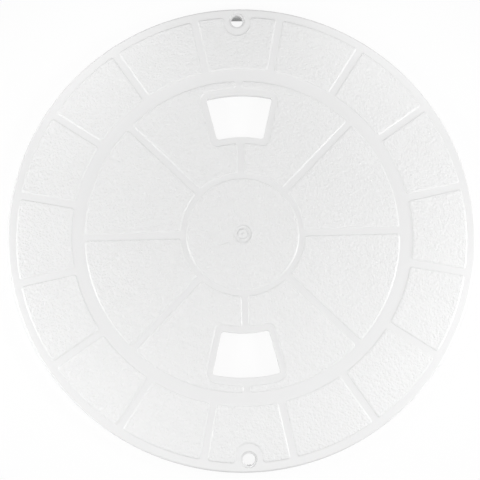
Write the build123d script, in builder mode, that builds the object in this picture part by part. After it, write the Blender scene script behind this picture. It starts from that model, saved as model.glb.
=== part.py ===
from build123d import *
import math
import os

# Round skimmer lid, moulded in one piece. Its flat plate carries raised, grained pads between smooth lands,
# and a skirt, ring ribs, straight ribs and screw bosses hang below it.
# Millimetres. The origin is the middle of the seat plane, +Z is up, and +Y points to one screw hole.

os.makedirs("parts", exist_ok=True)

# Overall size
lid_diameter = 251.0
lid_height = 12.7
plate_wall = 2.4
pad_rise = 0.5
rim_edge_chamfer = 0.7

# Layout of the top face
hub_pad_diameter = 60.7
hub_groove_width = 2.8
ring_land_inner_diameter = 168.9
ring_land_width = 6.7
rim_land_width = 4.7
spoke_count = 8
spoke_width = 3.4
outer_rib_count = 16
outer_rib_width = 3.6
pad_corner_radius = 1.5
corner_share = 0.4

# Finger windows, each in a smooth frame, with a narrow strip of pad between frame and ring land
window_count = 2
window_length = 23.3
window_half_angle = 13.6
window_inner_corner_radius = 1.6
window_outer_corner_radius = 0.9
frame_width = 3.4
frame_head_width = 4.0
frame_inner_corner_radius = 3.8
frame_outer_corner_radius = 5.8
window_strip_width = 4.0

# Screw holes, each in a smooth land that is open to the rim
screw_count = 2
screw_inset = 6.75
screw_hole_diameter = 6.5
screw_seat_diameter = 8.5
screw_seat_depth = 1.1
screw_land_width = 14.0
screw_land_depth = 15.0
screw_land_corner_radius = 2.0
boss_wall = 2.9
boss_height = 1.6

# Gate mark in the middle of the hub pad
gate_well_diameter = 9.6
gate_well_depth = 0.35
gate_disc_diameter = 5.7
gate_disc_rise = 0.2
gate_stub_diameter = 1.3
gate_stub_rise = 0.1

# Underside
skirt_wall = 2.8
skirt_foot_chamfer = 0.5
mould_draft = 1.5
rib_wall = 2.4
rib_height = 6.4
window_rib_setback = 2.3

# Levels and radii that follow from the sizes above
lid_radius = lid_diameter / 2
land_top = lid_height - pad_rise
plate_bottom = land_top - plate_wall
hub_pad_radius = hub_pad_diameter / 2
hub_groove_outer_radius = hub_pad_radius + hub_groove_width
ring_land_inner_radius = ring_land_inner_diameter / 2
ring_land_outer_radius = ring_land_inner_radius + ring_land_width
rim_land_inner_radius = lid_radius - rim_land_width
window_outer_radius = ring_land_inner_radius - window_strip_width - frame_head_width
window_inner_radius = window_outer_radius - window_length
hub_strip_width = window_inner_radius - frame_width - hub_groove_outer_radius
strip_corner_radius = min(pad_corner_radius, corner_share * min(hub_strip_width, window_strip_width))
screw_circle_radius = lid_radius - screw_inset
screw_land_radius = screw_land_width / 2
screw_land_centre = lid_radius - screw_land_depth + screw_land_radius
boss_radius = screw_hole_diameter / 2 + boss_wall
hub_rib_radius = hub_pad_radius + hub_groove_width / 2
ring_rib_radius = ring_land_inner_radius + ring_land_width / 2
skirt_middle_radius = lid_radius - skirt_wall / 2
outer_rib_pitch = 360 / outer_rib_count
first_angle = 90
on_line = 0.001


def drafted(height):
    """How far a drafted wall leans in over the given height."""
    return height * math.tan(math.radians(mould_draft))


def window_outline(margin, head_margin, inner_corner_radius, outer_corner_radius):
    """Outline of the finger window on +Y, grown by a margin that may differ at its head, the outer arc."""
    outer_radius = window_outer_radius + head_margin
    inner_radius = window_inner_radius - margin
    outer_angle = window_half_angle + math.degrees(math.asin(margin / outer_radius))
    inner_angle = window_half_angle + math.degrees(math.asin(margin / inner_radius))
    with BuildSketch() as outline:
        with BuildLine():
            outer_arc = CenterArc((0, 0), outer_radius, first_angle - outer_angle, 2 * outer_angle)
            inner_arc = CenterArc((0, 0), inner_radius, first_angle - inner_angle, 2 * inner_angle)
            Line(outer_arc @ 0, inner_arc @ 0)
            Line(outer_arc @ 1, inner_arc @ 1)
        make_face()
        corners = outline.vertices().group_by(lambda corner: round(math.hypot(corner.X, corner.Y), 3))
        fillet(corners[0], inner_corner_radius)
        corners = outline.vertices().group_by(lambda corner: round(math.hypot(corner.X, corner.Y), 3))
        fillet(corners[-1], outer_corner_radius)
    return outline.sketch


def is_at_radius(point, radii):
    """Whether a sketch point lies on one of the circles about the lid's middle."""
    return any(abs(math.hypot(point.X, point.Y) - radius) < on_line for radius in radii)


def ring_rib_section(radius, top, bottom):
    """Section of a ring rib that hangs from the plate, narrower at its foot by the draft."""
    root = rib_wall / 2
    foot = root - drafted(top - bottom)
    with BuildSketch() as rib_section:
        with BuildLine():
            Polyline(
                (radius - root, top),
                (radius - foot, bottom),
                (radius + foot, bottom),
                (radius + root, top),
                close=True,
            )
        make_face()
    return rib_section.sketch


def window_rib_outline(margin):
    """Outline of the window grown by a margin on all sides, with its corners rounded to suit."""
    inner_corner_radius = window_inner_corner_radius + margin
    outer_corner_radius = window_outer_corner_radius + margin
    return window_outline(margin, margin, inner_corner_radius, outer_corner_radius)


window_opening = window_outline(0, 0, window_inner_corner_radius, window_outer_corner_radius)
window_frame = window_outline(
    frame_width, frame_head_width, frame_inner_corner_radius, frame_outer_corner_radius
)
window_rib_inside = window_rib_outline(window_rib_setback)
window_rib_outside = window_rib_outline(window_rib_setback + rib_wall)

# Pads of the outer band, with the screw lands cut out of two of them
with BuildSketch(Plane.XY.offset(land_top)) as outer_pads:
    Circle(rim_land_inner_radius)
    Circle(ring_land_outer_radius, mode=Mode.SUBTRACT)
    with PolarLocations(lid_radius / 2, outer_rib_count, start_angle=first_angle + outer_rib_pitch / 2):
        Rectangle(lid_radius, outer_rib_width, mode=Mode.SUBTRACT)
    fillet(outer_pads.vertices(), pad_corner_radius)
    with PolarLocations(screw_land_centre, screw_count, start_angle=first_angle):
        Circle(screw_land_radius, mode=Mode.SUBTRACT)
        with Locations((lid_radius / 2, 0)):
            Rectangle(lid_radius, screw_land_width, mode=Mode.SUBTRACT)
    land_mouths = outer_pads.vertices().filter_by(
        lambda corner: is_at_radius(corner, [rim_land_inner_radius])
        and abs(abs(corner.X) - screw_land_radius) < on_line
    )
    fillet(land_mouths, screw_land_corner_radius)

# Pads of the inner sectors, cut back round the window frames
with BuildSketch(Plane.XY.offset(land_top)) as inner_pads:
    Circle(ring_land_inner_radius)
    Circle(hub_groove_outer_radius, mode=Mode.SUBTRACT)
    with PolarLocations(lid_radius / 2, spoke_count, start_angle=first_angle):
        Rectangle(lid_radius, spoke_width, mode=Mode.SUBTRACT)
    with PolarLocations(0, window_count):
        add(window_frame, mode=Mode.SUBTRACT)
    sector_corners = inner_pads.vertices().filter_by(
        lambda corner: is_at_radius(corner, [hub_groove_outer_radius, ring_land_inner_radius])
        and abs(abs(corner.X) - spoke_width / 2) > on_line
    )
    fillet(sector_corners, pad_corner_radius)
    strip_corners = inner_pads.vertices().filter_by(
        lambda corner: abs(abs(corner.X) - spoke_width / 2) < on_line
    )
    fillet(strip_corners, strip_corner_radius)

with BuildPart() as lid:
    # Plate, skirt and ring ribs: one section turned about the middle
    with BuildSketch(Plane.XZ) as section:
        with BuildLine():
            Polyline(
                (0, land_top),
                (lid_radius, land_top),
                (lid_radius - drafted(land_top), 0),
                (lid_radius - skirt_wall, 0),
                (lid_radius - skirt_wall - drafted(plate_bottom), plate_bottom),
                (0, plate_bottom),
                close=True,
            )
        make_face()
        chamfer(section.vertices().sort_by(Axis.X)[-1], rim_edge_chamfer)
        chamfer(section.vertices().group_by(Axis.Y)[0].sort_by(Axis.X)[-1], skirt_foot_chamfer)
        add(ring_rib_section(hub_rib_radius, plate_bottom, plate_bottom - rib_height))
        add(ring_rib_section(ring_rib_radius, plate_bottom, plate_bottom - rib_height))
    revolve(axis=Axis.Z)

    # Raised pads, with the gate mark in the middle of the hub pad
    with BuildSketch(Plane.XY.offset(land_top)):
        Circle(hub_pad_radius)
    extrude(amount=pad_rise)
    extrude(to_extrude=outer_pads.sketch, amount=pad_rise)
    extrude(to_extrude=inner_pads.sketch, amount=pad_rise)
    with BuildSketch(Plane.XY.offset(lid_height)):
        Circle(gate_well_diameter / 2)
    extrude(amount=-gate_well_depth, mode=Mode.SUBTRACT)
    with BuildSketch(Plane.XY.offset(lid_height - gate_well_depth)):
        Circle(gate_disc_diameter / 2)
    extrude(amount=gate_disc_rise)
    with BuildSketch(Plane.XY.offset(lid_height - gate_well_depth)):
        Circle(gate_stub_diameter / 2)
    extrude(amount=gate_disc_rise + gate_stub_rise)

    # Straight ribs in line with the spokes, from the hub rib to the middle of the skirt
    with BuildSketch(Plane.XY.offset(plate_bottom)):
        with PolarLocations((hub_rib_radius + skirt_middle_radius) / 2, spoke_count, start_angle=first_angle):
            Rectangle(skirt_middle_radius - hub_rib_radius, rib_wall)
    extrude(amount=-rib_height, taper=mould_draft)

    # Rib round each window
    with BuildSketch(Plane.XY.offset(plate_bottom)):
        with PolarLocations(0, window_count):
            add(window_rib_outside)
    extrude(amount=-rib_height)
    with BuildSketch(Plane.XY.offset(plate_bottom)):
        with PolarLocations(0, window_count):
            add(window_rib_inside)
    extrude(amount=-plate_bottom, mode=Mode.SUBTRACT)

    # Low bosses that thicken the plate round the screw holes
    with BuildSketch(Plane.XY.offset(plate_bottom)):
        with PolarLocations(screw_circle_radius, screw_count, start_angle=first_angle):
            Circle(boss_radius)
    extrude(amount=-boss_height)

    # Windows and stepped screw holes
    with BuildSketch(Plane.XY.offset(land_top)):
        with PolarLocations(0, window_count):
            add(window_opening)
    extrude(amount=-lid_height, mode=Mode.SUBTRACT)
    with Locations(Plane.XY.offset(land_top)):
        with PolarLocations(screw_circle_radius, screw_count, start_angle=first_angle):
            CounterBoreHole(screw_hole_diameter / 2, screw_seat_diameter / 2, screw_seat_depth)

lid.part.label = "lid"
export_step(lid.part, "parts/lid.step")
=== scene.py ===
"""Studio picture of a round pool skimmer lid: one white moulding with raised, grained pads.

Lengths are in metres and angles in radians where nothing else is said. The origin is the middle of the
plane that the lid rests on, with +Z up.
"""

from __future__ import annotations

import logging
import math
from collections.abc import Callable
from dataclasses import dataclass, field
from enum import Enum
from typing import Any

import bmesh
import bpy
from mathutils import Matrix, Vector


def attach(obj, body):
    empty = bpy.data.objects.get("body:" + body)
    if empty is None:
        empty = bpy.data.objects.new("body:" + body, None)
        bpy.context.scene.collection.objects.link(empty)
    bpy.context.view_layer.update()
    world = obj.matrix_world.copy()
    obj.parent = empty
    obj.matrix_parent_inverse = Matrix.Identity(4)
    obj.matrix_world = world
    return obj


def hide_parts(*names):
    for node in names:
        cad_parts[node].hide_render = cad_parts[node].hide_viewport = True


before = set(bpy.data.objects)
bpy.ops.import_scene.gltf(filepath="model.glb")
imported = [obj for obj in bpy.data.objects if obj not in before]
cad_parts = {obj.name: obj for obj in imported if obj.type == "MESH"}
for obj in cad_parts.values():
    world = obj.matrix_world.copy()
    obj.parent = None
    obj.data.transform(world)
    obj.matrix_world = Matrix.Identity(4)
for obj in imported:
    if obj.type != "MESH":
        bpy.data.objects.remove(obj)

log = logging.getLogger("skimmer_lid")

MM = 0.001
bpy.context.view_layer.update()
WHITE = (1.0, 1.0, 1.0, 1.0)
NOISE_MIDDLE = 0.5

# Places of the colours on a Mix node, where other sockets have the same names
MIX_FIRST = 6
MIX_SECOND = 7
MIX_RESULT = 2

Colour = tuple[float, float, float]
Place = tuple[float, float, float]


class Operation(Enum):
    """What a Math node can be asked to work out."""

    SUM = "ADD"
    DIFFERENCE = "SUBTRACT"
    PRODUCT = "MULTIPLY"
    SMALLER = "MINIMUM"
    SIZE = "ABSOLUTE"
    ROOT = "SQRT"


class Value:
    """One output of a shader's nodes, which Python's operators turn into Math nodes."""

    def __init__(self, sheet: ShaderSheet, socket: bpy.types.NodeSocket) -> None:
        """Keeps the output together with the sheet that it belongs to."""
        self.sheet = sheet
        self.socket = socket

    def __add__(self, other: Value | float) -> Value:
        """This value plus the other."""
        return self.sheet.work_out(Operation.SUM, self, other)

    __radd__ = __add__

    def __sub__(self, other: Value | float) -> Value:
        """This value minus the other."""
        return self.sheet.work_out(Operation.DIFFERENCE, self, other)

    def __rsub__(self, other: float) -> Value:
        """A number minus this value."""
        return self.sheet.work_out(Operation.DIFFERENCE, other, self)

    def __mul__(self, other: Value | float) -> Value:
        """This value times the other."""
        return self.sheet.work_out(Operation.PRODUCT, self, other)

    __rmul__ = __mul__

    def at_most(self, limit: float) -> Value:
        """This value, or the limit where that is smaller."""
        return self.sheet.work_out(Operation.SMALLER, self, limit)

    def size(self) -> Value:
        """This value without its sign."""
        return self.sheet.work_out(Operation.SIZE, self)

    def root(self) -> Value:
        """The square root of this value."""
        return self.sheet.work_out(Operation.ROOT, self)

    def fade(self, low: float, high: float) -> Value:
        """A smooth step from 0 at low to 1 at high, which falls instead of rising where low is the larger.

        Args:
            low: The value at which the step is 0.
            high: The value at which the step is 1.

        Returns:
            The step, between 0 and 1.
        """
        if low > high:
            return 1.0 - self.fade(high, low)
        return self.sheet.value(
            "ShaderNodeMapRange",
            {"interpolation_type": "SMOOTHSTEP"},
            {"Value": self, "From Min": low, "From Max": high},
        )


class ShaderSheet:
    """The nodes of one material or world."""

    def __init__(self, owner: bpy.types.Material | bpy.types.World) -> None:
        """Starts with no nodes at all.

        Args:
            owner: The material or world.
        """
        owner.use_nodes = True
        self.owner = owner
        self.tree = owner.node_tree
        self.tree.nodes.clear()

    def node(
        self,
        kind: str,
        settings: dict[str, Any] | None = None,
        inputs: dict[int | str, Any] | None = None,
    ) -> bpy.types.Node:
        """Makes a node.

        Args:
            kind: The node's type.
            settings: Its properties, which are set before the sockets.
            inputs: A number, a colour, a vector or a Value for each socket, by name or by place.

        Returns:
            The node.
        """
        made = self.tree.nodes.new(kind)
        for name, setting in (settings or {}).items():
            setattr(made, name, setting)
        for key, given in (inputs or {}).items():
            if isinstance(given, Value):
                self.tree.links.new(given.socket, made.inputs[key])
            else:
                made.inputs[key].default_value = given
        return made

    def value(
        self,
        kind: str,
        settings: dict[str, Any] | None = None,
        inputs: dict[int | str, Any] | None = None,
        output: int | str = 0,
    ) -> Value:
        """Makes a node as node() does, and takes one of its outputs, by name or by place."""
        return Value(self, self.node(kind, settings, inputs).outputs[output])

    def work_out(self, operation: Operation, *terms: Value | float) -> Value:
        """The result of a Math node."""
        return self.value("ShaderNodeMath", {"operation": operation.value}, dict(enumerate(terms)))

    def place(self) -> Value:
        """The point of the surface, in the part's own frame."""
        return self.value("ShaderNodeTexCoord", output="Object")

    def axes(self, vector: Value) -> tuple[Value, ...]:
        """The three lengths of a vector, along X, Y and Z."""
        split = self.node("ShaderNodeSeparateXYZ", inputs={"Vector": vector})
        return tuple(Value(self, length) for length in split.outputs)

    def background_ray(self) -> Value:
        """Tells the rays that show the background: from the camera, in a gloss or through something clear.

        Returns:
            1 for such a ray and 0 for any other.
        """
        path = self.node("ShaderNodeLightPath")
        camera = Value(self, path.outputs["Is Camera Ray"])
        glossy = Value(self, path.outputs["Is Glossy Ray"])
        through = Value(self, path.outputs["Is Transmission Ray"])
        return (camera + glossy + through).at_most(1.0)

    def noise(self, point: Value, grain: float, layers: float) -> Value:
        """Cloudy noise about NOISE_MIDDLE.

        Args:
            point: Where it is read.
            grain: The size of one cloud.
            layers: How many finer layers it has.

        Returns:
            The noise.
        """
        return self.value(
            "ShaderNodeTexNoise",
            inputs={"Vector": point, "Scale": 1.0 / grain, "Detail": layers},
        )

    def pebbles(self, point: Value, grain: float, softness: float) -> Value:
        """Round pebbles of one size, low in their middles and high along their edges.

        Args:
            point: Where they are read.
            grain: The size of one pebble.
            softness: How far neighbours run into each other, from 0 to 1.

        Returns:
            The pebbles' height, about 0 in their middles.
        """
        return self.value(
            "ShaderNodeTexVoronoi",
            {"feature": "SMOOTH_F1"},
            {"Vector": point, "Scale": 1.0 / grain, "Smoothness": softness},
        )

    def tinted(self, colour: Colour, tint: Value) -> Value:
        """A plain colour multiplied by a tint.

        Args:
            colour: The plain colour.
            tint: The colour that it is multiplied by.

        Returns:
            The product.
        """
        return self.value(
            "ShaderNodeMix",
            {"data_type": "RGBA", "blend_type": "MULTIPLY"},
            {"Factor": 1.0, MIX_FIRST: (*colour, 1.0), MIX_SECOND: tint},
            output=MIX_RESULT,
        )

    def surface(self, shader: Value) -> None:
        """Sends a shader to the surface of the material or world.

        Args:
            shader: The shader.
        """
        is_world = isinstance(self.owner, bpy.types.World)
        kind = "ShaderNodeOutputWorld" if is_world else "ShaderNodeOutputMaterial"
        self.node(kind, inputs={"Surface": shader})


@dataclass(frozen=True)
class WhiteMoulding:
    """Smooth white plastic whose raised pads have a fine leather grain.

    The lands' painted shade, which draws the lower lands a little darker than the pads, and the pads'
    roughness and grain set in between the heights pad_foot and pad_face. The marks of the gate set in
    between marks_foot and marks_face, which keeps them off the underside.
    """

    name: str = "white_moulded_plastic"
    colour: Colour = (0.823, 0.823, 0.823)
    refraction: float = 1.49
    pad_foot: float = 12.4 * MM
    pad_face: float = 12.65 * MM
    # Painted shade: how light the lower lands are drawn against the pads
    land_painted_shade: float = 0.988
    land_roughness: float = 0.22
    pad_roughness: float = 0.46
    cloud: float = 34 * MM
    cloud_layers: float = 2.0
    cloud_swing: float = 0.024
    grain: float = 1.4 * MM
    grain_softness: float = 0.6
    fine_grain: float = 0.8 * MM
    fine_layers: float = 1.0
    grain_depth: float = 0.28 * MM
    grain_middle: float = 0.95
    wave: float = 9 * MM
    wave_layers: float = 1.0
    wave_depth: float = 0.02 * MM
    marks_foot: float = 11 * MM
    marks_face: float = 12 * MM
    flow_mark_centre: Place = (-9.3 * MM, -4.9 * MM, 0.0)
    flow_mark_turn: float = math.radians(17)
    flow_mark_half_length: float = 4.4 * MM
    flow_mark_half_width: float = 0.45 * MM
    flow_mark_core: float = 0.4
    flow_mark_depth: float = 0.16 * MM
    gate_well_radius: float = 4.7 * MM
    gate_well_depth: float = 0.45 * MM
    gate_disc_radius: float = 2.75 * MM
    gate_disc_rise: float = 0.50 * MM
    gate_stub_radius: float = 0.6 * MM
    gate_stub_rise: float = 0.28 * MM
    gate_edge: float = 0.5 * MM

    def make(self) -> bpy.types.Material:
        """Makes the finish.

        Returns:
            The material.
        """
        material = bpy.data.materials.new(self.name)
        sheet = ShaderSheet(material)
        point = sheet.place()
        across, along, height = sheet.axes(point)
        reach = (across * across + along * along).root()

        # The gate's well lies below the hub pad's face, but has the pad's finish
        beside_gate = 1.0 - self.disc(reach, self.gate_well_radius)
        pad = 1.0 - (1.0 - height.fade(self.pad_foot, self.pad_face)) * beside_gate

        # Painted shade: the lower lands are drawn a little darker than the pads by a plain factor; the
        # cloudy swing is the plastic's own uneven tone
        clouds = sheet.noise(point, self.cloud, self.cloud_layers)
        shade = ((clouds - NOISE_MIDDLE) * self.cloud_swing + 1.0) * self.between(self.land_painted_shade, 1.0, pad)
        tint = sheet.value("ShaderNodeCombineColor", inputs={"Red": shade, "Green": shade, "Blue": shade})
        marks = self.gate_mark(reach) - self.flow_mark(sheet, point) * self.flow_mark_depth
        relief = self.relief(sheet, point, pad) + marks * height.fade(self.marks_foot, self.marks_face)
        plastic = sheet.value(
            "ShaderNodeBsdfPrincipled",
            inputs={
                "Base Color": sheet.tinted(self.colour, tint),
                "Roughness": self.between(self.land_roughness, self.pad_roughness, pad),
                "Normal": sheet.value(
                    "ShaderNodeBump", inputs={"Strength": 1.0, "Distance": 1.0, "Height": relief}
                ),
                "IOR": self.refraction,
            },
        )
        sheet.surface(plastic)
        return material

    @staticmethod
    def between(on_land: float, on_pad: float, pad: Value) -> Value:
        """One number on the lands and another on the pads."""
        return pad * (on_pad - on_land) + on_land

    def relief(self, sheet: ShaderSheet, point: Value, pad: Value) -> Value:
        """Height of the fine relief in metres: grain on the pads, and slow waves everywhere.

        Args:
            sheet: The material's nodes.
            point: The point of the surface.
            pad: 1 on the pads' faces and 0 on the lands.

        Returns:
            The height.
        """
        pebbles = sheet.pebbles(point, self.grain, self.grain_softness)
        grit = sheet.noise(point, self.fine_grain, self.fine_layers)
        grain = (pebbles + grit - self.grain_middle) * pad * self.grain_depth
        wave = sheet.noise(point, self.wave, self.wave_layers) * self.wave_depth
        return grain + wave

    def disc(self, reach: Value, radius: float) -> Value:
        """1 inside a circle about the lid's middle and 0 outside it, with a soft edge."""
        return reach.fade(radius + self.gate_edge, radius - self.gate_edge)

    def gate_mark(self, reach: Value) -> Value:
        """Height in metres that the gate's well, disc and stub add to the solid's own.

        Args:
            reach: The distance from the lid's middle.

        Returns:
            The height.
        """
        well = self.disc(reach, self.gate_well_radius) * self.gate_well_depth
        disc = self.disc(reach, self.gate_disc_radius) * self.gate_disc_rise
        stub = self.disc(reach, self.gate_stub_radius) * self.gate_stub_rise
        return disc + stub - well

    def flow_mark(self, sheet: ShaderSheet, point: Value) -> Value:
        """The short streak that the melt left beside the gate.

        Args:
            sheet: The material's nodes.
            point: The point of the surface.

        Returns:
            1 along the streak's middle and 0 away from it.
        """
        turned = sheet.value(
            "ShaderNodeMapping",
            {"vector_type": "TEXTURE"},
            {
                "Vector": point,
                "Location": self.flow_mark_centre,
                "Rotation": (0.0, 0.0, self.flow_mark_turn),
            },
        )
        along, across, _ = sheet.axes(turned)
        core = self.flow_mark_half_length * self.flow_mark_core
        lengthwise = along.size().fade(self.flow_mark_half_length, core)
        crosswise = across.size().fade(self.flow_mark_half_width, 0.0)
        return lengthwise * crosswise


@dataclass(frozen=True)
class StudioFloor:
    """A white floor that keeps a faint shadow."""

    name: str = "white_floor"
    colour: Colour = (0.9, 0.9, 0.9)
    glow_share: float = 0.93

    def make(self) -> bpy.types.Material:
        """Makes the finish.

        Returns:
            The material.
        """
        material = bpy.data.materials.new(self.name)
        sheet = ShaderSheet(material)
        matt = sheet.value("ShaderNodeBsdfDiffuse", inputs={"Color": (*self.colour, 1.0)})
        glow = sheet.value("ShaderNodeEmission", inputs={"Color": WHITE, "Strength": 1.0})
        share = sheet.background_ray() * self.glow_share
        sheet.surface(sheet.value("ShaderNodeMixShader", inputs={0: share, 1: matt, 2: glow}))
        return material


@dataclass
class LidShell:
    """The lid's moulding: the CAD solid with its edges rounded as the mould leaves them.

    The edges within gate_reach of the middle belong to the gate, and those above top_foot to the top side.
    """

    node: str = "lid"
    name: str = "lid_moulding"
    finish: WhiteMoulding = field(default_factory=WhiteMoulding)
    weld_distance: float = 0.002 * MM
    flat_angle: float = math.radians(0.6)
    sharp_angle: float = math.radians(32)
    pad_level: float = 12.7 * MM
    land_level: float = 12.2 * MM
    level_tolerance: float = 0.02 * MM
    top_foot: float = 11 * MM
    gate_reach: float = 6 * MM
    pad_slope: float = 0.499 * MM
    pad_edge_radius: float = 0.45 * MM
    pad_foot_radius: float = 0.3 * MM
    land_edge_radius: float = 0.3 * MM
    gate_edge_radius: float = 0.08 * MM
    slope_segments: int = 1
    pad_segments: int = 3
    edge_segments: int = 2
    normal_weight: int = 100

    def build(self) -> bpy.types.Object:
        """Makes the moulding and sets it in the CAD node's place.

        Returns:
            The finished piece.
        """
        body = bmesh.new()
        body.from_mesh(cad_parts[self.node].data)
        self.join_flats(body)
        self.round_edges(body)
        mesh = bpy.data.meshes.new(self.name)
        body.to_mesh(mesh)
        body.free()
        piece = bpy.data.objects.new(self.name, mesh)
        bpy.context.scene.collection.objects.link(piece)
        mesh.shade_smooth()
        mesh.set_sharp_from_angle(angle=self.sharp_angle)
        settle = piece.modifiers.new("even_normals", "WEIGHTED_NORMAL")
        settle.keep_sharp = True
        settle.weight = self.normal_weight
        mesh.materials.append(self.finish.make())
        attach(piece, "root")
        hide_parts(self.node)
        return piece

    def join_flats(self, body: bmesh.types.BMesh) -> None:
        """Welds the loose triangles and joins those that lie in one plane.

        Args:
            body: The mesh.
        """
        bmesh.ops.remove_doubles(body, verts=body.verts, dist=self.weld_distance)
        bmesh.ops.dissolve_limit(
            body,
            angle_limit=self.flat_angle,
            verts=body.verts,
            edges=body.edges,
            use_dissolve_boundaries=False,
        )
        bmesh.ops.recalc_face_normals(body, faces=body.faces)

    def round_edges(self, body: bmesh.types.BMesh) -> None:
        """Gives the pads sloping sides with soft shoulders and feet, then softens the top's other edges.

        Args:
            body: The mesh.
        """
        self.bevel(body, self.is_pad_edge, self.pad_slope, self.slope_segments)
        bmesh.ops.remove_doubles(body, verts=body.verts, dist=self.weld_distance)
        self.bevel(body, self.is_pad_edge, self.pad_edge_radius, self.pad_segments)
        self.bevel(body, self.is_pad_foot, self.pad_foot_radius, self.edge_segments)
        self.bevel(body, self.is_gate_edge, self.gate_edge_radius, self.edge_segments)
        self.bevel(body, self.is_land_edge, self.land_edge_radius, self.edge_segments)

    def is_pad_edge(self, edge: bmesh.types.BMEdge) -> bool:
        """Whether an edge runs round a pad's face."""
        is_level = self.is_level(edge, self.pad_level)
        return self.is_outward(edge) and is_level and self.reach(edge) > self.gate_reach

    def is_pad_foot(self, edge: bmesh.types.BMEdge) -> bool:
        """Whether an edge runs round a pad's foot."""
        return self.is_inward(edge) and self.is_level(edge, self.land_level)

    def is_gate_edge(self, edge: bmesh.types.BMEdge) -> bool:
        """Whether an edge belongs to the gate's well, disc or stub."""
        is_top = self.height(edge) > self.top_foot
        return self.is_outward(edge) and is_top and self.reach(edge) < self.gate_reach

    def is_land_edge(self, edge: bmesh.types.BMEdge) -> bool:
        """Whether an edge of the top lies no higher than the lands: at the rim, a window or a screw seat."""
        is_low = self.top_foot < self.height(edge) < self.land_level + self.level_tolerance
        return self.is_outward(edge) and is_low and self.reach(edge) > self.gate_reach

    def is_outward(self, edge: bmesh.types.BMEdge) -> bool:
        """Whether two faces meet in a sharp ridge."""
        return edge.is_manifold and edge.calc_face_angle_signed() > self.sharp_angle

    def is_inward(self, edge: bmesh.types.BMEdge) -> bool:
        """Whether two faces meet in a sharp valley."""
        return edge.is_manifold and edge.calc_face_angle_signed() < -self.sharp_angle

    def is_level(self, edge: bmesh.types.BMEdge, level: float) -> bool:
        """Whether both ends of an edge lie at a level."""
        return all(abs(corner.co.z - level) < self.level_tolerance for corner in edge.verts)

    @staticmethod
    def reach(edge: bmesh.types.BMEdge) -> float:
        """The distance of an edge's nearer end from the lid's middle."""
        return min(corner.co.xy.length for corner in edge.verts)

    @staticmethod
    def height(edge: bmesh.types.BMEdge) -> float:
        """The height of an edge's lower end."""
        return min(corner.co.z for corner in edge.verts)

    @staticmethod
    def bevel(
        body: bmesh.types.BMesh,
        is_wanted: Callable[[bmesh.types.BMEdge], bool],
        radius: float,
        segments: int,
    ) -> None:
        """Rounds the edges that are wanted.

        Args:
            body: The mesh.
            is_wanted: Says whether an edge is rounded.
            radius: How far the rounding reaches along each face.
            segments: How many flats it has.
        """
        body.normal_update()
        bmesh.ops.bevel(
            body,
            geom=[edge for edge in body.edges if is_wanted(edge)],
            offset=radius,
            offset_type="OFFSET",
            segments=segments,
            profile=0.5,
            affect="EDGES",
            clamp_overlap=True,
            material=-1,
        )


@dataclass(frozen=True)
class Softbox:
    """One soft lamp that faces the middle of the lid.

    The bearing is in degrees clockwise from +Y, the elevation in degrees and the power in watts.
    """

    name: str
    bearing: float
    elevation: float
    distance: float
    height: float
    power: float
    width: float = 0.12

    def build(self) -> bpy.types.Object:
        """Makes the lamp.

        Returns:
            The lamp.
        """
        lamp = bpy.data.lights.new(self.name, "AREA")
        lamp.shape = "RECTANGLE"
        lamp.size = self.width
        lamp.size_y = self.height
        lamp.energy = self.power
        stand = bpy.data.objects.new(self.name, lamp)
        bearing = math.radians(self.bearing)
        rise = math.radians(self.elevation)
        level = math.cos(rise)
        out = Vector((math.sin(bearing) * level, math.cos(bearing) * level, math.sin(rise)))
        stand.location = out * self.distance
        stand.rotation_mode = "QUATERNION"
        stand.rotation_quaternion = out.to_track_quat("Z", "Y")
        stand.visible_camera = False
        bpy.context.scene.collection.objects.link(stand)
        return stand


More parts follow.
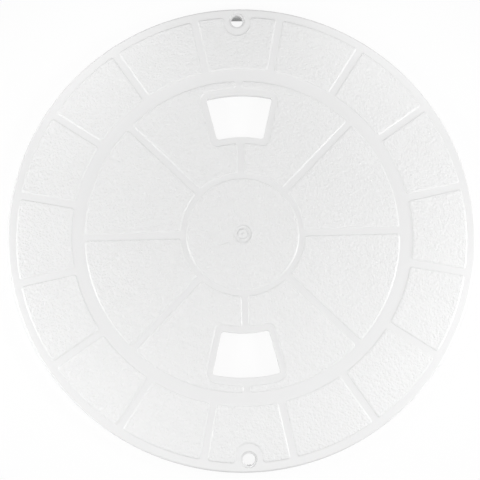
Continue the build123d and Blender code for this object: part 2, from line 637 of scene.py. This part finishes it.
@dataclass
class Studio:
    """Floor, light and camera.

    The floor lies floor_drop below the lid, so that the two don't share a plane. The camera's axis passes
    beside the lid's middle by view_shift_x and view_shift_y, which are in the camera's own directions.
    """

    floor: StudioFloor = field(default_factory=StudioFloor)
    floor_half: float = 3.0
    floor_drop: float = 0.05 * MM
    fill: float = 0.296
    focal_length_px: float = 1063.1
    picture_px: float = 480.0
    sensor_width_mm: float = 36.0
    tilt: float = -0.1366
    pan: float = 0.0224
    roll: float = 0.0238
    view_shift_x: float = 1.50 * MM
    view_shift_y: float = 3.25 * MM
    distance: float = 569.5 * MM
    aim_height: float = 12.3 * MM

    def softboxes(self) -> list[Softbox]:
        """The lamps: three at each side, and a ring of small ones close to the lid.

        Returns:
            The lamps, not yet made.
        """
        return [
            Softbox("high_right", bearing=100, elevation=50, distance=0.45, height=0.10, power=0.650),
            Softbox("high_left", bearing=260, elevation=50, distance=0.40, height=0.10, power=0.380),
            Softbox("low_right", bearing=100, elevation=12, distance=0.45, height=0.08, power=0.180),
            Softbox("low_left", bearing=260, elevation=12, distance=0.42, height=0.08, power=0.150),
            Softbox(
                "side_right", bearing=96, elevation=16, distance=0.28, height=0.06, power=0.090, width=0.14
            ),
            Softbox(
                "side_left", bearing=264, elevation=16, distance=0.28, height=0.06, power=0.090, width=0.14
            ),
            Softbox("near_front", bearing=180, elevation=40, distance=0.18, height=0.08, power=0.0209),
            Softbox("near_back", bearing=0, elevation=40, distance=0.18, height=0.08, power=0.0118),
            Softbox("near_back_right", bearing=40, elevation=25, distance=0.18, height=0.07, power=0.0236),
            Softbox("near_back_left", bearing=320, elevation=25, distance=0.18, height=0.07, power=0.0281),
            Softbox("near_front_right", bearing=140, elevation=25, distance=0.18, height=0.07, power=0.0155),
            Softbox("near_front_left", bearing=220, elevation=25, distance=0.18, height=0.07, power=0.0180),
        ]

    def lay_floor(self) -> bpy.types.Object:
        """Makes the floor that the lid lies on.

        Returns:
            The floor.
        """
        body = bmesh.new()
        bmesh.ops.create_grid(body, x_segments=1, y_segments=1, size=self.floor_half)
        bmesh.ops.translate(body, verts=body.verts, vec=Vector((0.0, 0.0, -self.floor_drop)))
        mesh = bpy.data.meshes.new("floor")
        body.to_mesh(mesh)
        body.free()
        mesh.materials.append(self.floor.make())
        floor = bpy.data.objects.new("floor", mesh)
        bpy.context.scene.collection.objects.link(floor)
        return floor

    def light_world(self) -> None:
        """Sets the even light from all round, which a camera or a gloss sees as white."""
        world = bpy.data.worlds.new("studio")
        bpy.context.scene.world = world
        sheet = ShaderSheet(world)
        strength = sheet.background_ray() * (1.0 - self.fill) + self.fill
        sheet.surface(sheet.value("ShaderNodeBackground", inputs={"Color": WHITE, "Strength": strength}))

    def set_camera(self) -> bpy.types.Object:
        """Stands the camera where the photograph was taken from.

        Returns:
            The camera.
        """
        lens = bpy.data.cameras.new("camera")
        lens.sensor_width = self.sensor_width_mm
        lens.lens = self.focal_length_px * self.sensor_width_mm / self.picture_px
        camera = bpy.data.objects.new("camera", lens)
        turn = (
            Matrix.Rotation(self.pan, 4, "Y")
            @ Matrix.Rotation(self.tilt, 4, "X")
            @ Matrix.Rotation(self.roll, 4, "Z")
        )
        back = turn.inverted()
        spot = back @ Vector((-self.view_shift_x, -self.view_shift_y, self.distance))
        camera.matrix_world = Matrix.Translation(spot + Vector((0.0, 0.0, self.aim_height))) @ back
        bpy.context.scene.collection.objects.link(camera)
        bpy.context.scene.camera = camera
        return camera

    def build(self) -> None:
        """Makes the whole studio."""
        self.lay_floor()
        self.light_world()
        for box in self.softboxes():
            box.build()
        self.set_camera()
        bpy.context.scene.view_settings.view_transform = "Standard"


def main() -> None:
    """Builds the lid and its studio, and reports each piece."""
    logging.basicConfig(level=logging.INFO, format="%(name)s: %(message)s")
    piece = LidShell().build()
    mesh = piece.data
    log.info("%s has %d vertices and %d faces", piece.name, len(mesh.vertices), len(mesh.polygons))
    Studio().build()
    log.info("the studio is lit")


if __name__ == "__main__":
    main()
